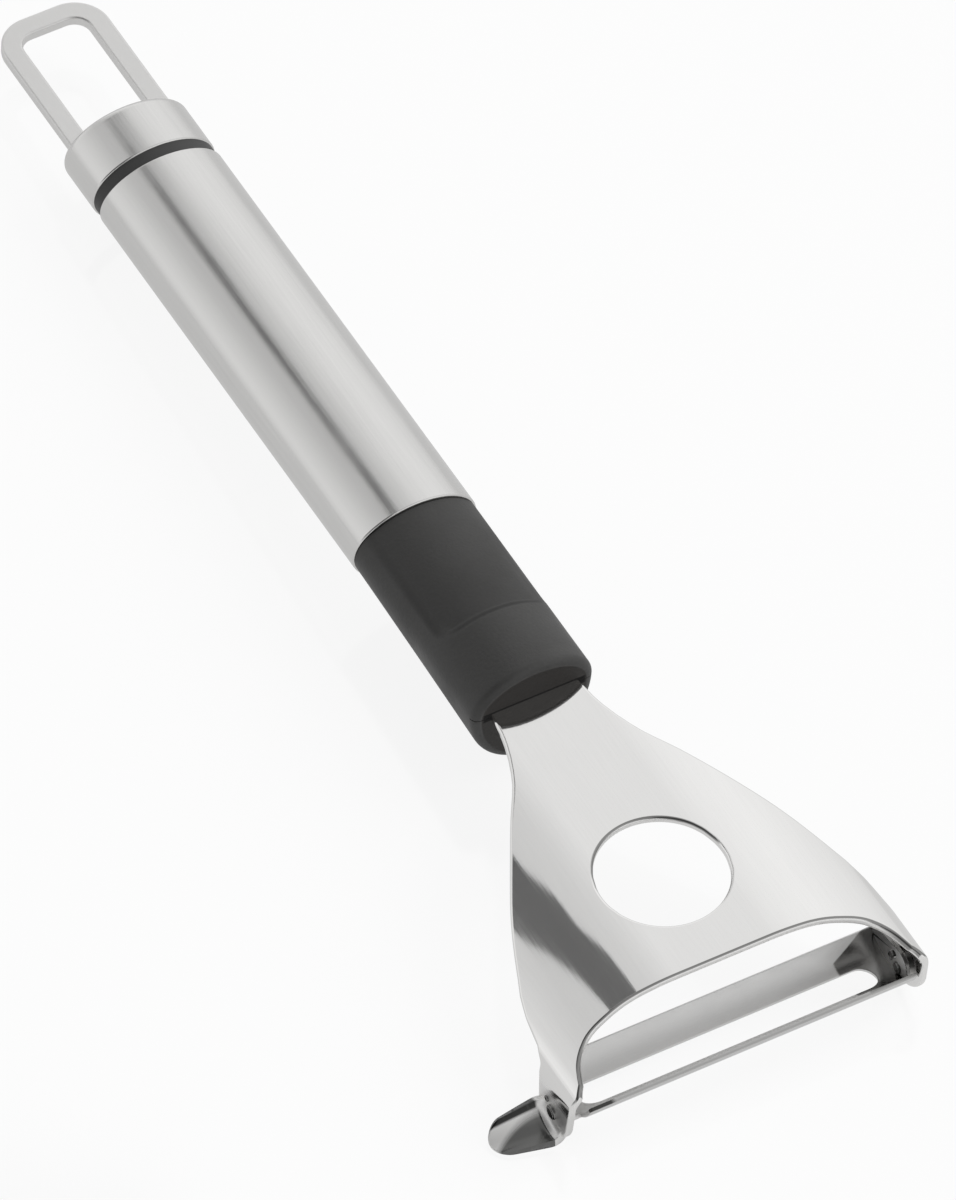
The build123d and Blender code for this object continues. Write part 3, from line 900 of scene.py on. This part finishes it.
# %% Tones of the blade, on its inner face
inner_face = ("up", 0.0, 0.2)
# Painted reflection: the blade's right end is darker, as if it mirrored the dark inside of
# the head.
dark_end_reflection = zone_where("dark_end_reflection", ("X", 0.0191, 0.0195), ("Y-0.4", -0.0232, -0.0234),
                        inner_face)
# Painted reflection: the front strip of the trough is darker, where it tilts towards the room
# behind.
front_strip_reflection = zone_where("front_strip_reflection", ("Y", -0.0249, -0.0255), inner_face)
# Painted reflection: a dark streak on the front strip near its left end.
front_streak_reflection = zone_where("front_streak_reflection", ("Y", -0.0248, -0.0251), ("X", -0.0214, -0.0222),
                          inner_face)
change_where("blade_steel", dark_end_reflection, (0.2, 0.198, 0.194), 0.14)
change_where("blade_steel", front_strip_reflection, (0.5, 0.498, 0.49), 0.3)
change_where("blade_steel", front_streak_reflection, (0.08, 0.08, 0.078), 0.2)
print("blade tones", dark_end_reflection.name, front_strip_reflection.name, front_streak_reflection.name)

# %% Tones of the head and the gouge
# Painted reflection: a dark line on the rounding of the front cut edge, beside the arch.
edge_line_reflection = zone_where("edge_line_reflection", ("back", -0.05, -0.2), ("back", -0.85, -0.7),
                       ("up", 0.3, 0.45))
# Painted highlight: the cut edge that faces the front is brighter and rougher, a bright rim.
cut_rim_highlight = zone_where("cut_rim_highlight", ("back", -0.75, -0.9))
left_ear = zone_where("left_ear", ("X", -0.0272, -0.028), ("Z", -0.0085, -0.0105))
# Painted reflection: a near-black strip along the rear rim of the gouge.
rear_rim_reflection = zone_where("rear_rim_reflection", ("X", -0.0297, -0.0301), ("Y0.055", -0.02035, -0.0201),
                      ("up", 0.0, 0.2))
change_where("polished_steel", edge_line_reflection, (0.3, 0.298, 0.294), 0.1)
change_where("polished_steel", cut_rim_highlight, (0.97, 0.965, 0.955), 0.55)
change_where("polished_steel", left_ear, (0.86, 0.855, 0.845), 0.42)
change_where("polished_steel", hollow_shade, (0.16, 0.16, 0.157), 0.16)
change_where("polished_steel", rear_rim_reflection, (0.05, 0.05, 0.049), 0.16)
print("steel finishes", sorted(finishes))

# %% [markdown]
# ## Black finishes
# The sleeve is a soft rubber-like plastic with a fine, even skin that scatters light,
# and the ring and the hidden plugs are hard plastic. A small noise bump gives the skin,
# and a slower noise changes the roughness where fingers have touched it.


# %% Plastic finish
def plastic_finish(name, tint, rough, skin_scale, bump):
    """Plastic with a fine skin and slow changes of its gloss."""
    material = bpy.data.materials.new(name)
    material.use_nodes = True
    tree = material.node_tree
    shader = tree.nodes["Principled BSDF"]
    place = add_node(tree, "ShaderNodeTexCoord")
    skin = add_node(tree, "ShaderNodeTexNoise", in_Scale=skin_scale, in_Detail=2.0)
    slow = add_node(tree, "ShaderNodeTexNoise", in_Scale=90.0, in_Detail=3.0)
    roughness = add_node(tree, "ShaderNodeMapRange", in_1=0.35, in_2=0.65,
                         in_3=rough[0], in_4=rough[1])
    colour = add_node(tree, "ShaderNodeMix", data_type="RGBA")
    colour.inputs[6].default_value = (*(c * 0.85 for c in tint), 1)
    colour.inputs[7].default_value = (*(c * 1.15 for c in tint), 1)
    relief = add_node(tree, "ShaderNodeBump", in_Strength=bump, in_Distance=0.00005)
    for noise in (skin, slow):
        tree.links.new(place.outputs["Object"], noise.inputs["Vector"])
    tree.links.new(slow.outputs["Fac"], roughness.inputs[0])
    tree.links.new(skin.outputs["Fac"], colour.inputs[0])
    tree.links.new(skin.outputs["Fac"], relief.inputs["Height"])
    tree.links.new(roughness.outputs[0], shader.inputs["Roughness"])
    tree.links.new(colour.outputs[2], shader.inputs["Base Color"])
    tree.links.new(relief.outputs["Normal"], shader.inputs["Normal"])
    return material


for name, *values in (("soft_black", (0.037, 0.0365, 0.0355), (0.38, 0.54), 2200, 0.6),
                      ("black_ring", (0.03, 0.03, 0.03), (0.4, 0.5), 5000, 0.2),
                      ("black_core", (0.025, 0.025, 0.025), (0.35, 0.5), 3000, 0.2)):
    finishes[name] = plastic_finish(name, *values)

# %% Tones of the sleeve
face_seam = zone_where("face_seam", ("Z", 0.00082, 0.00072), ("Z", -0.00082, -0.00072),
                       ("Y", 0.0361, 0.0359), ("X", 0.0084, 0.008), ("X", -0.0084, -0.008))
# Painted shade: the steep walls of the thumb rest, and its hollow, are darker.
change_where("soft_black", marked("rest_wall_shade"), (0.012, 0.0118, 0.0115), 0.8)
# Painted shade: the end face, which turns away from the light, is darker.
change_where("soft_black", marked("end_face_shade"), (0.022, 0.0195, 0.0175), 0.62)
change_where("soft_black", face_seam, (0.002, 0.002, 0.002), 0.9)
print("all finishes", sorted(finishes))

# %% Put the finishes on
for node in nodes.values():
    wanted = node.data.materials[0].name.split(".")[0]
    node.data.materials[0] = finishes[wanted]
for piece in [head, gouge, blade, sleeve, *(pin for pin, node in pins)]:
    piece.data.materials.clear()
    piece.data.materials.append(finishes[piece["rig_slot"]])
print("finished", len(nodes), "nodes")

# %% [markdown]
# ## Floor, light and camera
# The peeler lies on a pale floor in even, soft light. Polished steel shows what stands
# round it, so the surroundings are a white room with one darker strip overhead, which
# draws the dark bands that make the metal read as metal.

# %% Floor
floor_z, floor_tilt = -0.01605, radians(3.05)
bpy.ops.mesh.primitive_plane_add(size=6, location=(0, 0, floor_z))
floor = bpy.context.object
floor.name = "floor"
floor_finish = bpy.data.materials.new("pale_floor")
floor_finish.use_nodes = True
tree = floor_finish.node_tree
shader = tree.nodes["Principled BSDF"]
shader.inputs["Base Color"].default_value = (0.95, 0.95, 0.95, 1)
shader.inputs["Roughness"].default_value = 0.6
shader.inputs["Specular IOR Level"].default_value = 0.2
white = add_node(tree, "ShaderNodeEmission", in_Color=(1, 1, 1, 1))
level = add_node(tree, "ShaderNodeMapRange", in_3=1.0, in_4=0.68)
gloss = add_node(tree, "ShaderNodeBsdfGlossy", in_Roughness=0.12)
path = add_node(tree, "ShaderNodeLightPath")
either = add_node(tree, "ShaderNodeMath", operation="MAXIMUM")
part_white = add_node(tree, "ShaderNodeMath", operation="MULTIPLY", in_1=0.93)
part_gloss = add_node(tree, "ShaderNodeMath", operation="MULTIPLY", in_1=0.05)
lit = add_node(tree, "ShaderNodeMixShader")
shown = add_node(tree, "ShaderNodeMixShader")
wire(tree, (path.outputs["Is Camera Ray"], either.inputs[0]),
     (path.outputs["Is Glossy Ray"], either.inputs[1]),
     (either.outputs[0], part_white.inputs[0]),
     (path.outputs["Is Glossy Ray"], level.inputs[0]),
     (level.outputs[0], white.inputs["Strength"]),
     (path.outputs["Is Camera Ray"], part_gloss.inputs[0]),
     (part_white.outputs[0], lit.inputs[0]), (shader.outputs[0], lit.inputs[1]),
     (white.outputs[0], lit.inputs[2]), (part_gloss.outputs[0], shown.inputs[0]),
     (lit.outputs[0], shown.inputs[1]), (gloss.outputs[0], shown.inputs[2]),
     (shown.outputs[0], tree.nodes["Material Output"].inputs["Surface"]))
floor.data.materials.append(floor_finish)
floor.rotation_euler = (floor_tilt, 0, 0)
print("floor at", round(floor.location.z / MM, 2), "mm")

# %% [markdown]
# A flag is a dark board that only mirrors see. It hangs over the head and the handle,
# and its outline is the dark band that crosses the plate and runs along the tube.

# %% Dark flag above
flag_right = [(5, 100), (1, 115), (-14, 122), (-16, 130), (-32, 136), (-34, 150), (-10, 185),
              (0, 200), (0, 280), (38, 292), (60, 300), (60, 320)]
flag_left = [(26, 320), (26, 300), (0, 291), (-38, 280), (-38, 200), (-60, 172), (-91, 152),
             (-113, 142), (-105, 137), (-81, 127), (-61, 117), (-45, 100)]
flag = blank("flag", flag_right + flag_left)
flag.location = (0, 0, 0.2)
flag_finish = bpy.data.materials.new("black_felt")
flag_finish.use_nodes = True
shader = flag_finish.node_tree.nodes["Principled BSDF"]
shader.inputs["Base Color"].default_value = (0.16, 0.16, 0.16, 1)
shader.inputs["Roughness"].default_value = 1.0
flag.data.materials.append(flag_finish)
flag.visible_camera = False
flag.visible_diffuse = False
flag.visible_shadow = False
print("flag corners", len(flag.data.vertices))

# %% [markdown]
# The room is a world colour. Grey stops set how bright it is at each angle round the
# handle, from the right wall over the top to the left wall, and two soft dark patches
# dim what the metal mirrors at the top and on the left. The camera itself sees white.

# %% Surroundings
world = bpy.data.worlds.new("soft_room")
bpy.context.scene.world = world
world.use_nodes = True
tree = world.node_tree
background = tree.nodes["Background"]
place = add_node(tree, "ShaderNodeTexCoord")
parts = add_node(tree, "ShaderNodeSeparateXYZ")
turn = add_node(tree, "ShaderNodeMath", operation="ARCTAN2")
share = add_node(tree, "ShaderNodeMapRange", in_1=0.0, in_2=pi)
walls = [(0, 0.78), (11, 0.88), (25, 0.94), (38, 0.98), (51, 0.95), (60, 0.9), (66, 0.85),
         (74, 0.77), (80, 0.71), (86, 0.69), (112, 0.66), (120, 0.70), (126, 0.75),
         (145, 0.86), (162, 0.92), (172, 0.84), (180, 0.74)]
strip = ramp(tree, [(angle / 180, grey) for angle, grey in walls])
wire(tree, (place.outputs["Generated"], parts.inputs[0]),
     (parts.outputs["Z"], turn.inputs[0]), (parts.outputs["X"], turn.inputs[1]),
     (turn.outputs[0], share.inputs[0]), (share.outputs[0], strip.inputs["Fac"]))
print("room with", len(walls), "stops of grey")

# %% Dark patches of the room
off_top = add_node(tree, "ShaderNodeMath", operation="ADD", in_1=0.12)
off_top_size = add_node(tree, "ShaderNodeMath", operation="ABSOLUTE")
top_dark = add_node(tree, "ShaderNodeMapRange", in_1=0.24, in_2=0.42, in_3=0.2, in_4=0.0)
left_dark = add_node(tree, "ShaderNodeMapRange", in_1=0.36, in_2=0.48, in_3=0.8, in_4=0.0)
left_high = add_node(tree, "ShaderNodeMapRange", in_1=0.2, in_2=0.45)
left_amount = add_node(tree, "ShaderNodeMath", operation="MULTIPLY")
left_side = add_node(tree, "ShaderNodeMapRange", in_1=-0.05, in_2=-0.2)
amount = add_node(tree, "ShaderNodeMix", data_type="FLOAT")
dim = add_node(tree, "ShaderNodeMath", operation="SUBTRACT", in_0=1.0)
seen = add_node(tree, "ShaderNodeLightPath")
dimmed = add_node(tree, "ShaderNodeMix", data_type="RGBA", blend_type="MULTIPLY")
level = add_node(tree, "ShaderNodeMapRange", in_3=0.68, in_4=1.0)
either = add_node(tree, "ShaderNodeMath", operation="MAXIMUM")
backdrop = add_node(tree, "ShaderNodeMix", data_type="RGBA")
backdrop.inputs[7].default_value = (1, 1, 1, 1)
wire(tree, (parts.outputs["Y"], off_top.inputs[0]),
     (off_top.outputs[0], off_top_size.inputs[0]),
     (off_top_size.outputs[0], top_dark.inputs[0]),
     (parts.outputs["Y"], left_dark.inputs[0]), (parts.outputs["Z"], left_high.inputs[0]),
     (left_dark.outputs[0], left_amount.inputs[0]),
     (left_high.outputs[0], left_amount.inputs[1]),
     (parts.outputs["X"], left_side.inputs[0]), (left_side.outputs[0], amount.inputs[0]),
     (top_dark.outputs[0], amount.inputs[2]), (left_amount.outputs[0], amount.inputs[3]),
     (amount.outputs[0], dim.inputs[1]), (seen.outputs["Is Glossy Ray"], dimmed.inputs[0]),
     (strip.outputs["Color"], dimmed.inputs[6]), (dim.outputs[0], dimmed.inputs[7]),
     (seen.outputs["Is Camera Ray"], backdrop.inputs[0]),
     (dimmed.outputs[2], backdrop.inputs[6]),
     (backdrop.outputs[2], background.inputs["Color"]),
     (seen.outputs["Is Camera Ray"], either.inputs[0]),
     (seen.outputs["Is Glossy Ray"], either.inputs[1]),
     (either.outputs[0], level.inputs[0]),
     (level.outputs[0], background.inputs["Strength"]))

# %% [markdown]
# One wide sun from the right gives the shadows their side. It is hidden from mirrors, so
# that no steel shows its disc. The camera's numbers come from a fit to the photograph:
# a long lens, so that near and far ends keep nearly the same scale.

# %% Soft lamp from the right
lamp_data = bpy.data.lights.new("soft_lamp", "SUN")
lamp_data.energy = 2.0
lamp_data.angle = radians(40)
lamp = bpy.data.objects.new("soft_lamp", lamp_data)
bpy.context.scene.collection.objects.link(lamp)
lamp.rotation_euler = Vector((0.75, -0.1, 0.6)).to_track_quat("Z", "Y").to_euler()
lamp.visible_glossy = False
print("lamp power", lamp_data.energy)

# %% Camera
camera_data = bpy.data.cameras.new("camera")
camera = bpy.data.objects.new("camera", camera_data)
bpy.context.scene.collection.objects.link(camera)
camera_data.lens = 576.818
camera_data.sensor_width = 36
camera_data.clip_end = 20
camera_place = (-0.94105, -1.41036, 2.05459)
right_way = Vector((0.86765, -0.49512, 0.04513))
up_way = Vector((0.35305, 0.67750, 0.64525))
back_way = Vector((-0.35005, -0.54392, 0.76264))
turned = Matrix((right_way, up_way, back_way)).transposed().to_4x4()
camera.matrix_world = Matrix.Translation(camera_place) @ turned
bpy.context.scene.camera = camera
bpy.context.scene.view_settings.view_transform = "Standard"
print("camera at", [round(v, 3) for v in camera.location])

# %% The end
bpy.context.view_layer.update()
